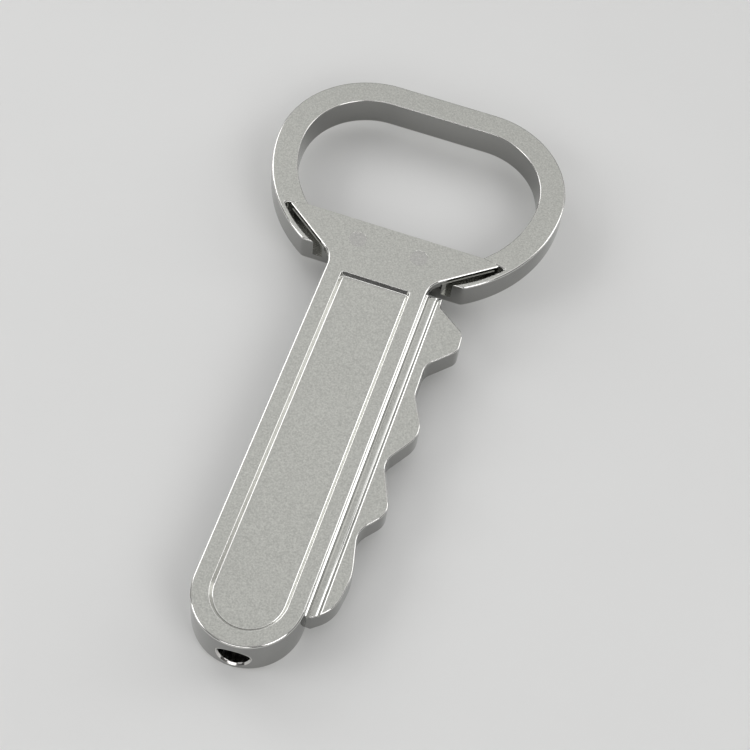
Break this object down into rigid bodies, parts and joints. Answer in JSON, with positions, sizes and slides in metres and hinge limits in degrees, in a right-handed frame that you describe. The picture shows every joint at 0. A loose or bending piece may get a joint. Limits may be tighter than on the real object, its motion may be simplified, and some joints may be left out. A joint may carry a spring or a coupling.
{
  "type": "keychain bottle opener",
  "caption": "Key-shaped bottle opener: an open oval head with a straight cap lip, a thick hollow shaft with a sunk panel and an end hole, and a bitted blade along one side.",
  "frame": {"origin": "under the middle of the whole outline, on the plane that the back cover lies on", "axes": "+Y from the end hole to the head along the shaft, +Z out of the front plate, +X towards the key blade"},
  "size_m": [0.0438, 0.0934, 0.0075],
  "materials": {
    "satin_nickel": "fine-blasted satin nickel on the faces, polished edges and walls",
    "satin_nickel_front": "fine-blasted satin nickel, polished edges",
    "satin_nickel_back": "satin nickel back, polished side walls",
    "satin_nickel_blade": "satin nickel faces, polished bitted edge",
    "polished_nickel": "polished nickel",
    "rivet_nickel": "ground flush and satin plated with the plate",
    "zinc_steel": "bright zinc plated steel",
    "pin_steel": "plain ground steel"
  },
  "bodies": {
    "root": {"head_hoop": "satin_nickel", "front_plate": "satin_nickel_front", "back_cover": "satin_nickel_back", "key_blade": "satin_nickel_blade", "chain_bush": "polished_nickel", "neck_rivets": "rivet_nickel", "cover_screws": "zinc_steel", "blade_pins": "pin_steel"}
  },
  "joints": []
}
